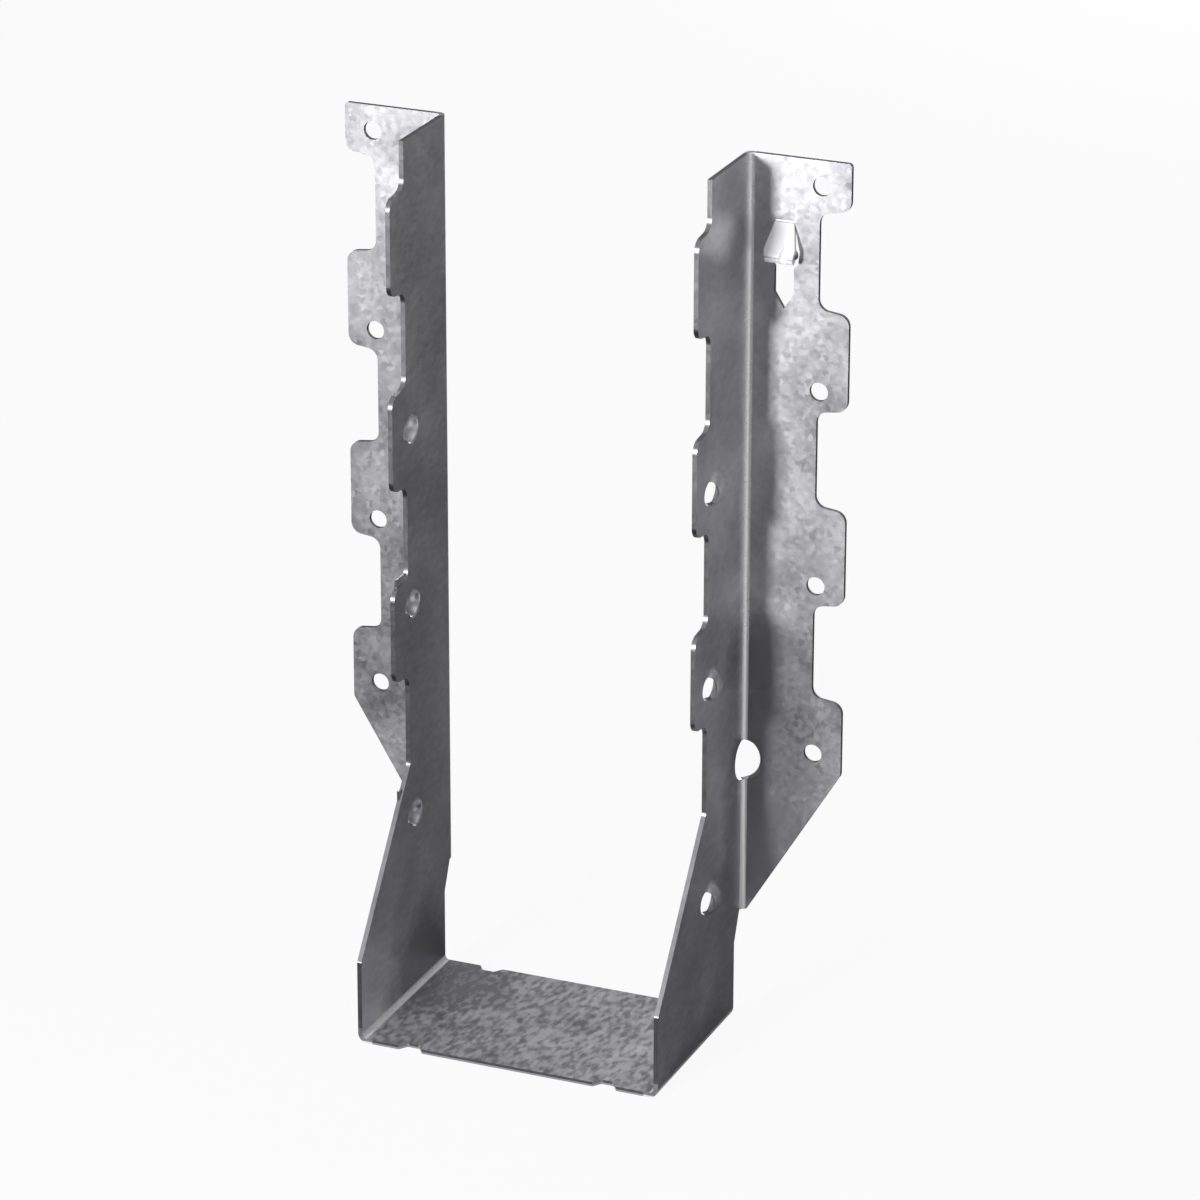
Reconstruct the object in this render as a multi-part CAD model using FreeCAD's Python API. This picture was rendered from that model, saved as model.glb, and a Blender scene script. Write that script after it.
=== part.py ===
import FreeCAD, Part
import math
import os

# Joist hanger folded from one galvanised sheet, millimetres.
# The origin is the centre of the seat's underside, +Y points at the header and +Z up.

# Sheet and folds
sheet = 1.2
fold_radius = 1.3

# Stirrup: the seat and its two side plates
joist_width = 79.4
hanger_height = 228.6
seat_depth = 50.8
seat_setback = 5.8

# Side plates: depth is counted forward from the header face
plate_depth = 26.0
plate_tab_reach = 8.2
seat_front_rise = 22.2
plate_slant_rise = 42.2
plate_slant_round = 2.0
seat_front_round = 1.0
foot_step_rise = 7.8
foot_step_round = 1.0

# Flanges: width is counted outward from the side plate
flange_width = 26.1
flange_tab_reach = 8.0
flange_foot = 28.4
flange_slant_rise = 41.0
low_tab_height = 19.5
flange_corner_round = 1.0
flange_slant_round = 2.5

# Tabs, cut so that one flange nests in the next one's recesses
tab_pitch = 50.8
tab_height = 25.4
tab_taper = 0.5
tab_round = 3.0
shortest_top_tab = 9.0

# Nail holes in the flanges
face_nail_radius = 2.4
face_nail_edge = 7.5
face_nail_rise = 4.8
top_nail_drop = 6.5

# Domes that lead the joist nails through at a slant: a rise is counted up from the tab's low edge
dome_radius = 5.0
dome_sink = 2.4
dome_foot_round = 0.7
dome_mouth_round = 0.5
dome_inset = 11.5
dome_nail_angle = 45.0
dome_hole_width = 4.6
dome_hole_height = 6.0
dome_hole_shift = 0.5
right_dome_rises = (9.2, 9.6)
left_dome_rises = (18.4, 14.0)
right_low_dome = 40.2
left_low_dome = 50.0

# Round hole punched across the right-hand fold
fold_hole_radius = 5.4
fold_hole_height = 69.7

# Prong lanced out of the right flange
prong_inset = 9.15
prong_drop = 16.4
prong_lean = 30.0
prong_root_width = 4.8
prong_wide_width = 7.9
prong_wide_length = 7.4
prong_knee_width = 7.1
prong_knee_length = 10.6
prong_neck_width = 5.0
prong_neck_length = 11.6
prong_shoulder_length = 18.2
prong_length = 22.2
prong_bend_radius = 0.6
dart_offset = 1.2
dart_radius = 1.8
dart_length = 6.0
dart_thinning = 0.9

# Notches in the front and rear edges of the seat
notch_inset = 13.2
notch_mouth = 6.4
notch_floor = 3.2
notch_depth = 2.2
notch_mouth_round = 0.6
notch_floor_round = 0.8

# Places that follow from the sizes above
plate_in = joist_width / 2
plate_out = plate_in + sheet
header_y = seat_setback + seat_depth / 2
fold_start = sheet + fold_radius
low_edge_height = flange_foot + flange_slant_rise + low_tab_height
plate_tip = plate_depth + plate_tab_reach
flange_recess = flange_width - flange_tab_reach

# How far a cutter overshoots, and how much of a side one corner's round may take
margin = 2.0
longest_round = 0.45


def corner_arc(before, here, after, radius):
    """Start, middle and end of the arc that rounds one corner, no larger than its sides allow."""
    back = before - here
    ahead = after - here
    reach = longest_round * min(back.Length, ahead.Length)
    back.normalize()
    ahead.normalize()
    half = back.getAngle(ahead) / 2
    limited = min(radius, reach * math.tan(half))
    setback = limited / math.tan(half)
    inward = (back + ahead).normalize()
    middle = here + inward * (limited / math.sin(half) - limited)
    return here + back * setback, middle, here + ahead * setback


def rounded_face(corners, place):
    """Flat face through corners given as (across, up, radius), set in space by place(across, up)."""
    spots = [place(across, up) for across, up, radius in corners]
    arcs = []
    for i, (across, up, radius) in enumerate(corners):
        after = spots[(i + 1) % len(spots)]
        if radius > 0:
            arcs.append(corner_arc(spots[i - 1], spots[i], after, radius))
        else:
            arcs.append((spots[i], None, spots[i]))
    edges = []
    for i, (start, middle, end) in enumerate(arcs):
        if middle is not None:
            edges.append(Part.Arc(start, middle, end).toShape())
        edges.append(Part.LineSegment(end, arcs[(i + 1) % len(arcs)][0]).toShape())
    return Part.Face(Part.Wire(edges))


def mirrored(shape):
    """The same shape on the other side of the hanger's middle plane."""
    return shape.mirror(FreeCAD.Vector(0, 0, 0), FreeCAD.Vector(1, 0, 0))


def tab_edges():
    """Heights of the tab edges from the lowest up, in pairs: a side plate's tab spans each pair."""
    pairs = []
    low = low_edge_height
    while low + tab_height + shortest_top_tab < hanger_height:
        pairs.append((low, low + tab_height))
        low += tab_pitch
    return pairs


def stepped_edge(low_side, high_side, low, high):
    """Corners of an edge that steps from low_side out to high_side between two heights, and back."""
    return [(low_side, low - tab_taper, tab_round), (high_side, low + tab_taper, tab_round),
            (high_side, high - tab_taper, tab_round), (low_side, high + tab_taper, tab_round)]


def stirrup():
    """Seat and side plates: a U section run front to rear, trimmed to the side plates' outline."""
    outer = sheet + fold_radius
    section = [(-plate_out, 0, outer), (plate_out, 0, outer),
               (plate_out, hanger_height, 0), (plate_in, hanger_height, 0),
               (plate_in, sheet, fold_radius), (-plate_in, sheet, fold_radius),
               (-plate_in, hanger_height, 0), (-plate_out, hanger_height, 0)]
    front = header_y - seat_setback - seat_depth
    rear = header_y - fold_start
    face = rounded_face(section, lambda x, z: FreeCAD.Vector(x, front, z))
    channel = face.extrude(FreeCAD.Vector(0, rear - front, 0))

    outline = [(fold_start, hanger_height, 0), (fold_start, flange_foot, 0),
               (seat_setback, flange_foot - foot_step_rise, foot_step_round), (seat_setback, -margin, 0),
               (seat_setback + seat_depth, -margin, 0),
               (seat_setback + seat_depth, seat_front_rise, seat_front_round),
               (plate_depth, seat_front_rise + plate_slant_rise, plate_slant_round)]
    for low, high in tab_edges():
        outline += stepped_edge(plate_depth, plate_tip, low, high)
    outline.append((plate_depth, hanger_height, 0))
    left = -plate_out - margin
    side = rounded_face(outline, lambda depth, z: FreeCAD.Vector(left, header_y - depth, z))
    return channel.common(side.extrude(FreeCAD.Vector(-2 * left, 0, 0)))


def flange():
    """Right-hand fold and flange: an L section run upright, trimmed to the flange's outline."""
    inside = header_y - sheet
    section = [(plate_in, inside - fold_radius - margin, 0), (plate_in, header_y, fold_start),
               (plate_out + flange_width, header_y, 0), (plate_out + flange_width, inside, 0),
               (plate_out, inside, fold_radius), (plate_out, inside - fold_radius - margin, 0)]
    face = rounded_face(section, lambda x, y: FreeCAD.Vector(x, y, flange_foot))
    angle = face.extrude(FreeCAD.Vector(0, 0, hanger_height - flange_foot))

    outline = [(-sheet - margin, flange_foot, 0), (fold_radius, flange_foot, 0),
               (flange_width, flange_foot + flange_slant_rise, flange_slant_round)]
    for low, high in tab_edges():
        outline += stepped_edge(flange_width, flange_recess, low, high)
    outline += [(flange_width, hanger_height, flange_corner_round), (-sheet - margin, hanger_height, 0)]
    front = inside - fold_radius - 2 * margin
    side = rounded_face(outline, lambda across, z: FreeCAD.Vector(plate_out + across, front, z))
    return angle.common(side.extrude(FreeCAD.Vector(0, header_y + margin - front, 0)))


def face_nail_heights():
    """One nail near the foot of every flange tab, and one hung from the top edge in the top tab."""
    feet = [flange_foot + flange_slant_rise] + [high for low, high in tab_edges()[:-1]]
    return [foot + face_nail_rise for foot in feet] + [hanger_height - top_nail_drop]


def face_nail_holes():
    """Drills for the nails through the right flange into the header."""
    across = plate_out + flange_width - face_nail_edge
    start = header_y - sheet - margin
    drills = []
    for height in face_nail_heights():
        foot = FreeCAD.Vector(across, start, height)
        drills.append(Part.makeCylinder(face_nail_radius, sheet + 2 * margin, foot, FreeCAD.Vector(0, 1, 0)))
    return drills


def dome_heights(rises, low_dome):
    """Heights of one side plate's domes: one low down, then one in each of its lower tabs."""
    return [low_dome] + [low + rise for rise, (low, high) in zip(rises, tab_edges())]


def dome_centre(height):
    """Centre of a dome on the right side plate, sunk below the plate's outer face."""
    return FreeCAD.Vector(plate_out - dome_sink, header_y - plate_tip + dome_inset, height)


def swelling(height, radius, face_x, foot_round):
    """Ball cap that swells out of a face of the right side plate, blended into a thin layer below it."""
    centre = dome_centre(height)
    patch = dome_radius + 2 * margin
    corner = FreeCAD.Vector(face_x - sheet / 2, centre.y - patch, height - patch)
    layer = Part.makeBox(sheet / 2, 2 * patch, 2 * patch, corner)
    reach = Part.makeBox(patch, 2 * patch, 2 * patch, corner)
    ball = Part.makeSphere(radius, centre, FreeCAD.Vector(1, 0, 0))
    cap = layer.fuse(ball.common(reach)).removeSplitter()
    foot = [edge for edge in cap.Edges if edge.isClosed() and edge.Length > 4 * radius]
    return cap.makeFillet(foot_round, foot)


def dome_cap(height):
    """Outer skin of one dome, pressed outward from the right side plate."""
    return swelling(height, dome_radius, plate_out, dome_foot_round)


def elliptic_rod(centre, along, level, width, height, length):
    """Rod of oval section, taller than wide, that starts at centre and runs along a level line."""
    top = centre + FreeCAD.Vector(0, 0, height / 2)
    side = centre + level * (width / 2)
    oval = Part.Ellipse(top, side, centre).toShape()
    return Part.Face(Part.Wire([oval])).extrude(along * length)


def dome_hollow(height):
    """Inside of one dome, and the slanting way that its nail takes toward the header."""
    slant = math.radians(dome_nail_angle)
    outward = FreeCAD.Vector(math.sin(slant), -math.cos(slant), 0)
    level = FreeCAD.Vector(math.cos(slant), math.sin(slant), 0)
    hollow = swelling(height, dome_radius - sheet, plate_in, dome_mouth_round)
    centre = dome_centre(height) - level * dome_hole_shift
    nail_way = elliptic_rod(centre, outward, level, dome_hole_width, dome_hole_height, 2 * dome_radius)
    return hollow.fuse(nail_way)


def fold_hole():
    """Cutter for the punched circle: after folding, half of it lies on each face of the corner."""
    corner = FreeCAD.Vector(plate_out, header_y - sheet, fold_hole_height)
    diagonal = math.sqrt(0.5)
    along = FreeCAD.Vector(diagonal, -diagonal, 0)
    level = FreeCAD.Vector(diagonal, diagonal, 0)
    start = corner - along * 2 * fold_start
    length = 2 * fold_start + 2 * fold_hole_radius
    width = 2 * fold_hole_radius * diagonal
    return elliptic_rod(start, along, level, width, 2 * fold_hole_radius, length)


def prong_blank(lengths_and_widths, start, along):
    """Symmetric outline laid out from start: a half width at each length, ending in the given order."""
    right = [(width / 2, length) for length, width in lengths_and_widths]
    left = [(-half, length) for half, length in reversed(right) if half > 0]
    return [start + FreeCAD.Vector(half, 0, 0) + along * length for half, length in right + left]


def polygon_prism(points, thickness):
    """Flat polygon thickened to both sides of its plane."""
    face = Part.Face(Part.makePolygon(points + points[:1]))
    normal = face.normalAt(0, 0)
    face.translate(normal * (-thickness / 2))
    return face.extrude(normal * thickness)


def prong_places():
    """Root, knee and the two directions of the prong's middle layer."""
    lean = math.radians(prong_lean)
    root = FreeCAD.Vector(plate_out + prong_inset, header_y - sheet / 2, hanger_height - prong_drop)
    down = FreeCAD.Vector(0, -math.sin(lean), -math.cos(lean))
    knee = root + down * prong_knee_length
    return root, knee, down, FreeCAD.Vector(0, 1, 0)


def prong_window():
    """Opening that the prong leaves in the flange: the flat outline of its blank."""
    root = prong_places()[0]
    outline = [(0, prong_root_width), (prong_wide_length, prong_wide_width),
               (prong_knee_length, prong_knee_width), (prong_neck_length, prong_neck_width),
               (prong_shoulder_length, prong_neck_width), (prong_length, 0)]
    points = prong_blank(outline, root, FreeCAD.Vector(0, 0, -1))
    return polygon_prism(points, sheet + 2 * margin)


def strip_corner(before, here, after, offset):
    """Corner of a line offset sideways from a bent middle line in the plane across the hanger."""
    first = (here - before).normalize()
    second = (after - here).normalize()
    side = FreeCAD.Vector(0, -first.z, first.y) + FreeCAD.Vector(0, -second.z, second.y)
    half_turn = first.getAngle(second) / 2
    return here + side.normalize() * (offset / math.cos(half_turn))


def prong_strip():
    """The bent strip at full width: down out of the flange, round the knee and back through it."""
    root, knee, down, back = prong_places()
    top = root + FreeCAD.Vector(0, 0, margin)
    tip = knee + back * (prong_length - prong_knee_length)
    half = sheet / 2
    outer = prong_bend_radius + sheet
    across = FreeCAD.Vector(0, half, 0)
    upright = FreeCAD.Vector(0, 0, half)
    corners = [(top - across, 0), (strip_corner(top, root, knee, -half), prong_bend_radius),
               (strip_corner(root, knee, tip, -half), outer), (tip - upright, 0),
               (tip + upright, 0), (strip_corner(root, knee, tip, half), prong_bend_radius),
               (strip_corner(top, root, knee, half), outer), (top + across, 0)]
    flat = [(point.y, point.z, radius) for point, radius in corners]
    left = root.x - prong_wide_width
    face = rounded_face(flat, lambda y, z: FreeCAD.Vector(left, y, z))
    return face.extrude(FreeCAD.Vector(2 * prong_wide_width, 0, 0))


def prong_dart(clearance):
    """Cone that lies along the prong's front face, widens to the knee and runs on past it."""
    root, knee, down, back = prong_places()
    surface = strip_corner(root, knee, knee + back, -sheet / 2) + FreeCAD.Vector(dart_offset, 0, 0)
    start = surface - down * dart_length
    slope = dart_radius / dart_length
    length = dart_length + 2 * sheet
    return Part.makeCone(clearance, clearance + slope * length, length, start, down)


def knee_wedge():
    """Space inside the rounded knee, between the outer faces of the prong's two parts."""
    root, knee, down, back = prong_places()
    corner = strip_corner(root, knee, knee + back, -sheet / 2)
    reach = 2 * prong_knee_length
    ends = [(corner, prong_bend_radius + sheet), (corner - down * reach, 0), (corner + back * reach, 0)]
    left = root.x - prong_knee_width / 2
    flat = [(point.y, point.z, radius) for point, radius in ends]
    face = rounded_face(flat, lambda y, z: FreeCAD.Vector(left, y, z))
    return face.extrude(FreeCAD.Vector(prong_knee_width, 0, 0))


def prong():
    """Prong trimmed to its blank: the leaning part, the darted knee and the point at the header."""
    root, knee, down, back = prong_places()
    leaning = [(-margin, prong_root_width), (0, prong_root_width),
               (prong_wide_length, prong_wide_width), (prong_knee_length, prong_knee_width),
               (prong_knee_length + sheet, prong_knee_width)]
    pointing = [(-sheet, prong_knee_width), (0, prong_knee_width),
                (prong_neck_length - prong_knee_length, prong_neck_width),
                (prong_shoulder_length - prong_knee_length, prong_neck_width),
                (prong_length - prong_knee_length, 0)]
    thickness = 3 * sheet
    trim = polygon_prism(prong_blank(leaning, root, down), thickness)
    trim = trim.fuse(polygon_prism(prong_blank(pointing, knee, back), thickness))
    pressed_in = prong_dart(dart_thinning * sheet).common(knee_wedge())
    return prong_strip().common(trim).fuse(pressed_in).cut(prong_dart(0))


def seat_notches():
    """Cutters for the shallow notches in the seat's front and rear edges."""
    cutters = []
    rear = header_y - seat_setback
    for edge, inward in ((rear, -1), (rear - seat_depth, 1)):
        for side in (-1, 1):
            middle = side * (plate_in - notch_inset)
            outline = [(middle - notch_mouth / 2 - margin, edge - inward * margin, 0),
                       (middle - notch_mouth / 2, edge, notch_mouth_round),
                       (middle - notch_floor / 2, edge + inward * notch_depth, notch_floor_round),
                       (middle + notch_floor / 2, edge + inward * notch_depth, notch_floor_round),
                       (middle + notch_mouth / 2, edge, notch_mouth_round),
                       (middle + notch_mouth / 2 + margin, edge - inward * margin, 0)]
            face = rounded_face(outline, lambda x, y: FreeCAD.Vector(x, y, -margin))
            cutters.append(face.extrude(FreeCAD.Vector(0, 0, sheet + 2 * margin)))
    return cutters


def joist_hanger():
    """The whole folded sheet as one solid."""
    right_domes = dome_heights(right_dome_rises, right_low_dome)
    left_domes = dome_heights(left_dome_rises, left_low_dome)
    right_flange = flange()
    body = stirrup().fuse([right_flange, mirrored(right_flange)])
    body = body.fuse([dome_cap(height) for height in right_domes])
    body = body.fuse([mirrored(dome_cap(height)) for height in left_domes])
    body = body.removeSplitter()

    cutters = [dome_hollow(height) for height in right_domes]
    cutters += [mirrored(dome_hollow(height)) for height in left_domes]
    cutters += face_nail_holes()
    cutters += [mirrored(drill) for drill in face_nail_holes()]
    cutters += seat_notches()
    cutters += [fold_hole(), prong_window()]
    body = body.cut(cutters)
    return body.fuse(prong()).removeSplitter()


def main():
    os.makedirs("parts", exist_ok=True)
    hanger = joist_hanger()
    solid = hanger.Solids[0]
    print("solids", len(hanger.Solids), "valid", hanger.isValid(), "volume", round(solid.Volume, 1))
    print("box", hanger.BoundBox)
    solid.exportStep("parts/joist_hanger.step")


main()
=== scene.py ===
import math
import bpy
from mathutils import Matrix, Vector

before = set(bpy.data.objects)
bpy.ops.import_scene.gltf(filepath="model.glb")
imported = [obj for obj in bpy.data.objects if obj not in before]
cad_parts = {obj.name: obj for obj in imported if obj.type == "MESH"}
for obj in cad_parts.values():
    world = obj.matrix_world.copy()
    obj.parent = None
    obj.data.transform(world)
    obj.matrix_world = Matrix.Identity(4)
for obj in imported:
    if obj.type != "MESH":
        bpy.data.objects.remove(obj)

# Metres and degrees, in the model's own frame: +X right, +Y to the header, +Z up

# Camera, fitted to the photograph
camera_azimuth = 22.793
camera_elevation = 21.611
camera_roll = 0.110
camera_place = (0.49781, -1.15024, 0.61369)
sensor_width_mm = 36.0
focal_length_mm = 164.28

# Colours of the zinc, of the painted highlights on the folds and the prong, and of the cut edges
zinc_light = (0.93, 0.93, 0.97)
zinc_dark = (0.42, 0.415, 0.45)
fold_painted_highlight = (0.97, 0.97, 0.98)
prong_painted_highlight = (0.93, 0.93, 0.95)
cut_steel = (0.32, 0.32, 0.34)

# Gloss: roughness between two limits over the zinc, less on the folds, more on the prong; the painted
# highlights of folds and prong are also less metallic
smoothest = 0.32
roughest = 0.48
gloss_range = (0.2, 0.8)
crystal_share = 0.2
fold_roughness_factor = 0.65
fold_metallic = 0.3
prong_roughness = 0.6
prong_metallic = 0.1

# Spangle: crystals with ragged borders, each at its own slant, drawn out from front to rear
spangle_size = 0.0013
spangle_tilt = 0.03
grain_stretch = 2.0
ragged_size = spangle_size / 2
ragged_detail = 2.0
raggedness = 0.9

# Grain: worm-like marks mixed with the crystals' tones, strong on level faces and weak on upright ones
worm_size = 0.0016
worm_detail = 1.0
worm_range = (0.35, 0.65)
worm_share = 0.7
upright_contrast = 0.2
level_contrast = 1.3
level_start = 0.5

# Clouds, and the sums of clouds and grain at which the zinc is darkest and lightest
cloud_size = 0.018
cloud_detail = 5.0
cloud_range = (0.3, 0.7)
cloud_contrast = 0.3
darkest = -0.6
lightest = 0.35

# Patches of painted shade: x, y, z and radius. Five lie down the right flange beside its fold, and one on
# the seat
painted_shade_patches = ((0.049, 0.03, 0.096, 0.015), (0.049, 0.03, 0.082, 0.015), (0.048, 0.03, 0.068, 0.015),
                (0.047, 0.03, 0.054, 0.016), (0.045, 0.03, 0.04, 0.016), (-0.036, 0.012, 0.004, 0.022))
painted_shade_depth = 0.75
painted_shade_core = 0.5
painted_shade_raggedness = 0.4

# Planes that bound the folds, the flange's thickness, the domes and the flat of the seat
flange_fold_y = 0.0285
plate_outside_x = 0.0423
seat_fold_z = 0.004
flange_front_y = 0.0298
flange_back_y = 0.0314
dome_end_y = 0.015
seat_half = 0.037

# Cosines of a face's direction: over the first to the nearest axis it is flat, under the second slanted,
# and under the third to the sheet's own direction it is a cut
flat_cosine = 0.9995
slanted_cosine = 0.99
cut_cosine = 0.4

# Rounding of the cut edges
edge_softness = 0.00012
edge_segments = 2
edge_angle = 40

# Floor and room
floor_size = 24.0
floor_shade = 0.82
shadow_share = 0.08
room_level = 0.18

# Flags: cloths laid on the floor in fans round a corner, with a gap to the right and a seam to the left
grey_cloth = 0.17
black_cloth = 0.003
flag_corner = (0.045, -0.03)
flag_gap = (52, 112)
flag_seam = -90
flag_radius = 2.0
flag_lift = 0.0005
flag_corners = 16

# Lamps: name, place, what it shines toward, width, height and power in watts
lamps = (("key", (-0.25, -1.07, 0.37), (0, 0.02, 0.12), 0.14, 0.14, 10.5),
         ("rear", (-0.1, 1.2, 0.9), (0, 0, 0), 0.5, 0.3, 0.2),
         ("top", (0.1, -0.1, 1.5), (0, 0, 0), 2.4, 2.4, 9),
         ("back", (-0.05, 1.3, 0.2), (0, 0, 0.12), 0.5, 0.4, 3.5))


def new_material(name):
    """Empty node material: the material, its node tree and its output node."""
    material = bpy.data.materials.new(name)
    material.use_nodes = True
    tree = material.node_tree
    tree.nodes.clear()
    return material, tree, tree.nodes.new("ShaderNodeOutputMaterial")


def node(tree, kind, **settings):
    """New node with its properties set by name, and its unlinked sockets by inputs={name: value}."""
    made = tree.nodes.new(kind)
    inputs = settings.pop("inputs", {})
    for name, value in settings.items():
        setattr(made, name, value)
    for name, value in inputs.items():
        made.inputs[name].default_value = value
    return made


def feed(tree, socket, value):
    """Gives a socket its value: another socket, or a plain number or tuple."""
    if isinstance(value, bpy.types.NodeSocket):
        tree.links.new(value, socket)
    else:
        socket.default_value = value


def number(tree, operation, first, second=0.0):
    """Output of a maths node on two sockets or plain numbers."""
    made = node(tree, "ShaderNodeMath", operation=operation)
    feed(tree, made.inputs[0], first)
    feed(tree, made.inputs[1], second)
    return made.outputs["Value"]


def vector(tree, operation, first, second=(0, 0, 0)):
    """Output of a vector maths node on two sockets or plain triples."""
    made = node(tree, "ShaderNodeVectorMath", operation=operation)
    feed(tree, made.inputs[0], first)
    feed(tree, made.inputs[1], second)
    return made.outputs["Value" if operation == "DISTANCE" else "Vector"]


def components(tree, value):
    """The X, Y and Z of a vector, or the red, green and blue of a colour."""
    made = node(tree, "ShaderNodeSeparateXYZ")
    tree.links.new(value, made.inputs["Vector"])
    return made.outputs["X"], made.outputs["Y"], made.outputs["Z"]


def ramp(tree, value, low, high, start, end):
    """Maps a socket from low..high to start..end, held at both ends."""
    made = node(tree, "ShaderNodeMapRange", inputs={"From Min": low, "From Max": high,
                                                    "To Min": start, "To Max": end})
    tree.links.new(value, made.inputs["Value"])
    return made.outputs["Result"]


def noise(tree, place, size, detail):
    """Soft random field with features of the given size."""
    made = node(tree, "ShaderNodeTexNoise", inputs={"Scale": 1 / size, "Detail": detail})
    tree.links.new(place, made.inputs["Vector"])
    return made


def blend(tree, factor, first, second):
    """Colour between two colours, each a socket or a plain triple."""
    made = node(tree, "ShaderNodeMix", data_type="RGBA")
    tree.links.new(factor, made.inputs["Factor"])
    colour_inputs = [socket for socket in made.inputs if socket.type == "RGBA"]
    for socket, colour in zip(colour_inputs, (first, second)):
        feed(tree, socket, (*colour, 1) if isinstance(colour, tuple) else colour)
    return next(socket for socket in made.outputs if socket.type == "RGBA")


def lowered(tree, mask, level):
    """1 outside a mask, and the given level inside it."""
    return ramp(tree, mask, 0.0, 1.0, 1.0, level)


def centred(tree, value, low, high):
    """Maps a socket from low..high to half a unit below and above 0."""
    return ramp(tree, value, low, high, -0.5, 0.5)


def weighted(tree, first, second, share):
    """The share of one socket plus the rest of another."""
    return number(tree, "ADD", number(tree, "MULTIPLY", first, share),
                  number(tree, "MULTIPLY", second, 1 - share))


def largest(tree, *sockets):
    """Largest of several sockets."""
    result = sockets[0]
    for socket in sockets[1:]:
        result = number(tree, "MAXIMUM", result, socket)
    return result


def product(tree, *sockets):
    """Product of several sockets."""
    result = sockets[0]
    for socket in sockets[1:]:
        result = number(tree, "MULTIPLY", result, socket)
    return result


def above(tree, value, limit):
    """1 where a socket is over the limit, and 0 elsewhere."""
    return number(tree, "GREATER_THAN", value, limit)


def below(tree, value, limit):
    """1 where a socket is under the limit, and 0 elsewhere."""
    return number(tree, "LESS_THAN", value, limit)


def worked(tree, where):
    """Three masks, 1 where the sheet was folded, where it was bent out as a prong and where it was cut.
    Highlights are painted on the first two.
    """
    normal = components(tree, where.outputs["Normal"])
    across, along, upward = [number(tree, "ABSOLUTE", part) for part in normal]
    slanted = ramp(tree, largest(tree, across, along, upward), flat_cosine, slanted_cosine, 0.0, 1.0)

    x, y, z = components(tree, where.outputs["Object"])
    aside = number(tree, "ABSOLUTE", x)
    inside = below(tree, aside, plate_outside_x)
    outside = above(tree, aside, plate_outside_x)
    high = above(tree, z, seat_fold_z)
    low = below(tree, z, seat_fold_z)
    fore = below(tree, y, flange_fold_y)
    rear = above(tree, y, flange_fold_y)
    in_flange = product(tree, above(tree, y, flange_front_y), below(tree, y, flange_back_y))
    before_flange = product(tree, above(tree, y, dome_end_y), below(tree, y, flange_front_y))
    behind_flange = above(tree, y, flange_back_y)

    folds = largest(tree, product(tree, slanted, inside, rear), product(tree, slanted, low))
    prong = product(tree, slanted, outside, largest(tree, before_flange, behind_flange))
    plate_cuts = product(tree, inside, fore, high, below(tree, across, cut_cosine))
    flange_cuts = product(tree, outside, in_flange, below(tree, along, cut_cosine))
    seat_cuts = product(tree, low, below(tree, aside, seat_half), below(tree, upward, cut_cosine))
    return folds, prong, largest(tree, plate_cuts, flange_cuts, seat_cuts)


def painted_shade_share(tree, place, clouds):
    """1 in the core of the patches of painted shade, fading to 0 at their cloudy edges."""
    stretch = ramp(tree, clouds, *cloud_range, 1 + painted_shade_raggedness, 1 - painted_shade_raggedness)
    shares = []
    for x, y, z, radius in painted_shade_patches:
        away = number(tree, "MULTIPLY", vector(tree, "DISTANCE", place, (x, y, z)), stretch)
        shares.append(ramp(tree, away, radius * painted_shade_core, radius, 1.0, 0.0))
    return largest(tree, *shares)


def spangle(tree, drawn):
    """Random colour of each crystal. The crystals' borders wander by a share of their size."""
    wander = noise(tree, drawn, ragged_size, ragged_detail).outputs["Color"]
    shift = vector(tree, "MULTIPLY", wander, (spangle_size * raggedness,) * 3)
    crystals = node(tree, "ShaderNodeTexVoronoi", inputs={"Scale": 1 / spangle_size})
    tree.links.new(vector(tree, "ADD", drawn, shift), crystals.inputs["Vector"])
    return crystals.outputs["Color"]


def tilted_normal(tree, crystals):
    """Surface normal, tilted a little and another way in each crystal."""
    middle = (0.5, 0.5, 0.5)
    slant = vector(tree, "SUBTRACT", crystals, middle)
    tilt = vector(tree, "MULTIPLY", slant, (spangle_tilt,) * 3)
    surface = node(tree, "ShaderNodeNewGeometry")
    return vector(tree, "NORMALIZE", vector(tree, "ADD", surface.outputs["Normal"], tilt))


def zinc_tone(tree, where, drawn, crystal_tone, clouds):
    """How light the zinc is, from 0 to 1: clouds and grain, less the painted shade of the patches."""
    worms = noise(tree, drawn, worm_size, worm_detail).outputs["Fac"]
    grain = weighted(tree, centred(tree, worms, *worm_range), centred(tree, crystal_tone, 0.0, 1.0),
                     worm_share)
    level = number(tree, "ABSOLUTE", components(tree, where.outputs["Normal"])[2])
    contrast = ramp(tree, level, level_start, 1.0, upright_contrast, level_contrast)
    cloudy = number(tree, "MULTIPLY", centred(tree, clouds, *cloud_range), cloud_contrast)
    mottle = number(tree, "ADD", cloudy, number(tree, "MULTIPLY", grain, contrast))
    # Painted shade: the zinc is darkened in the patches beside the right flange's fold and at the seat's
    # rear left
    painted_shade_amount = number(tree, "MULTIPLY", painted_shade_share(tree, where.outputs["Object"], clouds), painted_shade_depth)
    return number(tree, "SUBTRACT", ramp(tree, mottle, darkest, lightest, 0.0, 1.0), painted_shade_amount)


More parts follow.
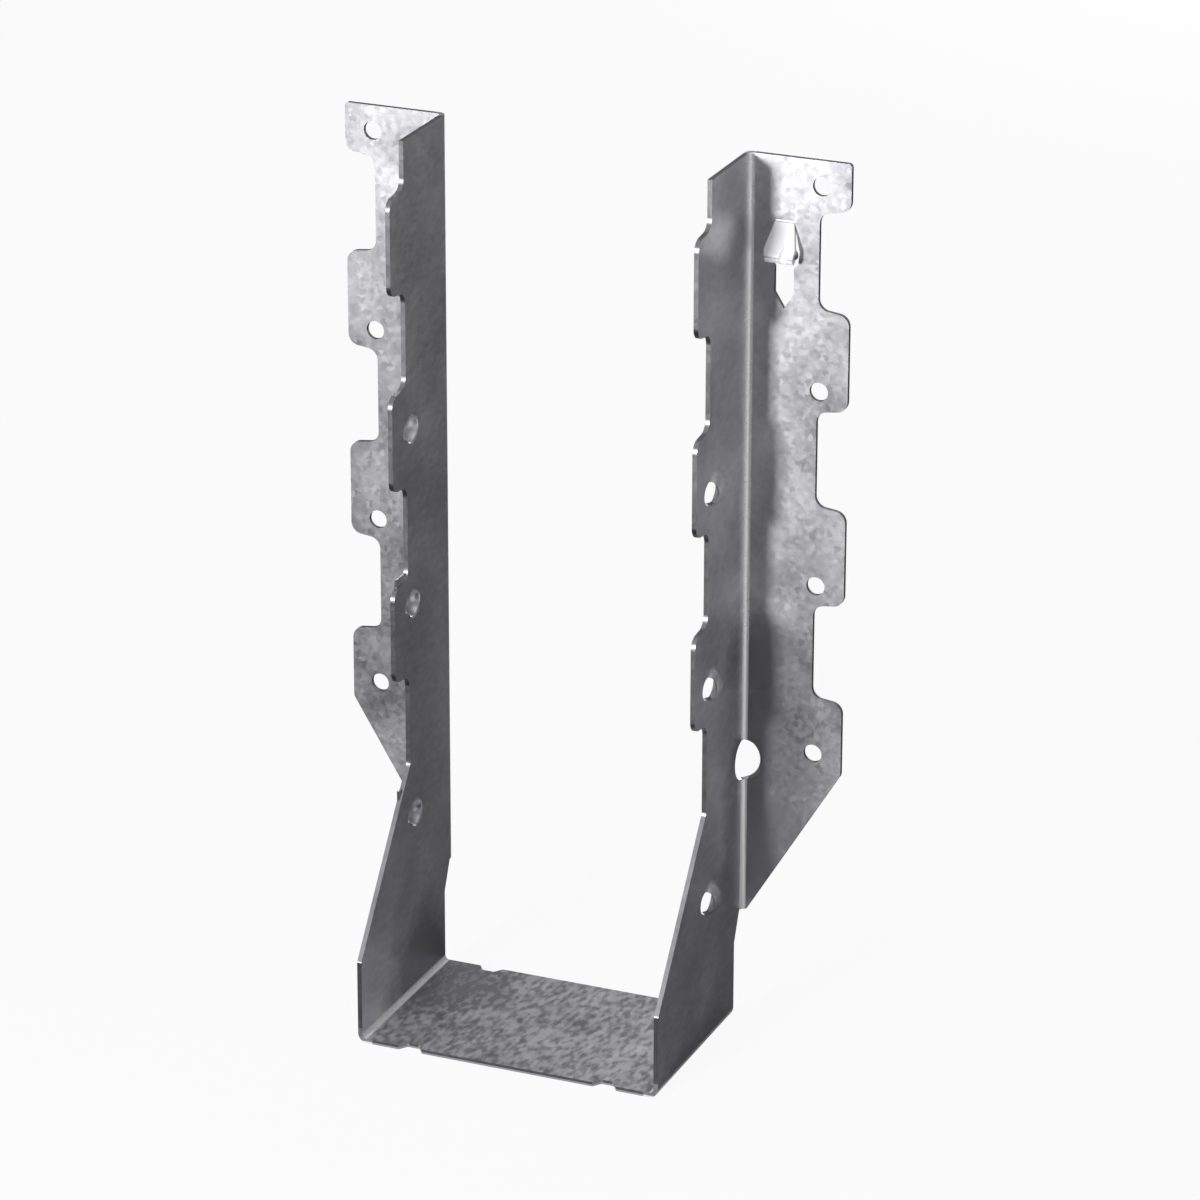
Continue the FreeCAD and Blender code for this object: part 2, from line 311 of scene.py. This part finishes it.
def galvanised_sheet():
    """Zinc with spangle and patches of painted shade, painted highlights on the folds and the prong, dark
    where cut.
    """
    material, tree, output = new_material("galvanised")
    where = node(tree, "ShaderNodeTexCoord")
    drawn = vector(tree, "MULTIPLY", where.outputs["Object"], (1, 1 / grain_stretch, 1))
    crystals = spangle(tree, drawn)
    crystal_tone, crystal_gloss = components(tree, crystals)[:2]
    clouds = noise(tree, where.outputs["Object"], cloud_size, cloud_detail).outputs["Fac"]
    folds, prong, cuts = worked(tree, where)

    zinc = blend(tree, zinc_tone(tree, where, drawn, crystal_tone, clouds), zinc_dark, zinc_light)
    # Painted highlights: near-white on the inside of the folds and pale on the prong's blade
    colour = blend(tree, folds, zinc, fold_painted_highlight)
    colour = blend(tree, prong, colour, prong_painted_highlight)
    colour = blend(tree, cuts, colour, cut_steel)

    gloss = weighted(tree, crystal_gloss, clouds, crystal_share)
    roughness = product(tree, ramp(tree, gloss, *gloss_range, smoothest, roughest),
                        lowered(tree, folds, fold_roughness_factor))
    roughness = largest(tree, roughness, number(tree, "MULTIPLY", prong, prong_roughness))
    metallic = product(tree, lowered(tree, folds, fold_metallic),
                       lowered(tree, prong, prong_metallic))

    shader = node(tree, "ShaderNodeBsdfPrincipled")
    tree.links.new(colour, shader.inputs["Base Color"])
    tree.links.new(roughness, shader.inputs["Roughness"])
    tree.links.new(metallic, shader.inputs["Metallic"])
    tree.links.new(tilted_normal(tree, crystals), shader.inputs["Normal"])
    tree.links.new(shader.outputs["BSDF"], output.inputs["Surface"])
    return material


def seen_directly(tree):
    """1 for what the camera sees, straight or in metal or glass, and 0 for light on its way elsewhere."""
    path = node(tree, "ShaderNodeLightPath")
    return largest(tree, path.outputs["Is Camera Ray"], path.outputs["Is Glossy Ray"],
                   path.outputs["Is Transmission Ray"])


def grey(shade):
    """Opaque grey, from black at 0 to white at 1."""
    return shade, shade, shade, 1


def floor_paint():
    """Pale floor: white where it is seen, with a share of real light left so that it keeps the shadow."""
    material, tree, output = new_material("floor")
    matt = node(tree, "ShaderNodeBsdfDiffuse", inputs={"Color": grey(floor_shade)})
    glow = node(tree, "ShaderNodeEmission", inputs={"Strength": 1.0})
    white = node(tree, "ShaderNodeMixShader", inputs={"Fac": 1 - shadow_share})
    tree.links.new(matt.outputs["BSDF"], white.inputs[1])
    tree.links.new(glow.outputs["Emission"], white.inputs[2])
    chosen = node(tree, "ShaderNodeMixShader")
    tree.links.new(seen_directly(tree), chosen.inputs["Fac"])
    tree.links.new(matt.outputs["BSDF"], chosen.inputs[1])
    tree.links.new(white.outputs["Shader"], chosen.inputs[2])
    tree.links.new(chosen.outputs["Shader"], output.inputs["Surface"])
    return material


def flag_cloth(name, shade):
    """Plain cloth of a flag."""
    material, tree, output = new_material(name)
    cloth = node(tree, "ShaderNodeBsdfDiffuse", inputs={"Color": grey(shade)})
    tree.links.new(cloth.outputs["BSDF"], output.inputs["Surface"])
    return material


def staged(name, corners, faces, material):
    """Flat sheet of the studio."""
    mesh = bpy.data.meshes.new(name)
    mesh.from_pydata(corners, [], faces)
    mesh.materials.append(material)
    made = bpy.data.objects.new(name, mesh)
    bpy.context.scene.collection.objects.link(made)
    return made


def floor():
    """Pale floor under the hanger."""
    half = floor_size / 2
    corners = [(-half, -half, 0), (half, -half, 0), (half, half, 0), (-half, half, 0)]
    staged("floor", corners, [(0, 1, 2, 3)], floor_paint())


def floor_flag(name, first, last, shade):
    """Fan of cloth on the floor between two azimuths. It shows only in the metal, like a studio's flag."""
    corners = [(*flag_corner, flag_lift)]
    for i in range(flag_corners + 1):
        azimuth = math.radians(first + (last - first) * i / flag_corners)
        corners.append((flag_corner[0] + flag_radius * math.sin(azimuth),
                        flag_corner[1] - flag_radius * math.cos(azimuth), flag_lift))
    faces = [(0, i, i + 1) for i in range(1, flag_corners + 1)]
    made = staged(name, corners, faces, flag_cloth(name, shade))
    made.visible_camera = False
    made.visible_diffuse = False
    made.visible_shadow = False


def room():
    """Even light from all round."""
    world = bpy.data.worlds.new("studio")
    world.use_nodes = True
    tree = world.node_tree
    tree.nodes.clear()
    output = node(tree, "ShaderNodeOutputWorld")
    light = node(tree, "ShaderNodeBackground", inputs={"Color": grey(1), "Strength": room_level})
    tree.links.new(light.outputs["Background"], output.inputs["Surface"])
    bpy.context.scene.world = world


def softbox(name, place, aim, width, height, power):
    """Rectangular lamp that shines toward aim."""
    lamp = bpy.data.lights.new(name, "AREA")
    lamp.shape = "RECTANGLE"
    lamp.size = width
    lamp.size_y = height
    lamp.energy = power
    made = bpy.data.objects.new(name, lamp)
    made.location = place
    made.rotation_euler = (Vector(aim) - Vector(place)).to_track_quat("-Z", "Y").to_euler()
    bpy.context.scene.collection.objects.link(made)


def studio():
    """Floor, room, flags and lamps."""
    floor()
    room()
    floor_flag("flag_before", flag_seam, flag_gap[0], black_cloth)
    floor_flag("flag_behind", flag_gap[1], flag_seam + 360, grey_cloth)
    for lamp in lamps:
        softbox(*lamp)


def camera():
    """Camera of the photograph."""
    azimuth = math.radians(camera_azimuth)
    elevation = math.radians(camera_elevation)
    roll = math.radians(camera_roll)
    back = Vector((math.sin(azimuth) * math.cos(elevation),
                   -math.cos(azimuth) * math.cos(elevation), math.sin(elevation)))
    level = Vector((math.cos(azimuth), math.sin(azimuth), 0))
    up = back.cross(level)
    right = math.cos(roll) * level + math.sin(roll) * up
    turned_up = math.cos(roll) * up - math.sin(roll) * level
    data = bpy.data.cameras.new("camera")
    data.sensor_width = sensor_width_mm
    data.lens = focal_length_mm
    made = bpy.data.objects.new("camera", data)
    turn = Matrix((right, turned_up, back)).transposed().to_4x4()
    made.matrix_world = Matrix.Translation(camera_place) @ turn
    bpy.context.scene.collection.objects.link(made)
    bpy.context.scene.camera = made


def dress(hanger):
    """Gives the sheet its zinc and soft cut edges."""
    hanger.data.materials.clear()
    hanger.data.materials.append(galvanised_sheet())
    soft = hanger.modifiers.new("soft_edges", "BEVEL")
    soft.width = edge_softness
    soft.segments = edge_segments
    soft.limit_method = "ANGLE"
    soft.angle_limit = math.radians(edge_angle)


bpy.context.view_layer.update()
dress(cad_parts["joist_hanger"])
studio()
camera()
bpy.context.scene.view_settings.view_transform = "Standard"
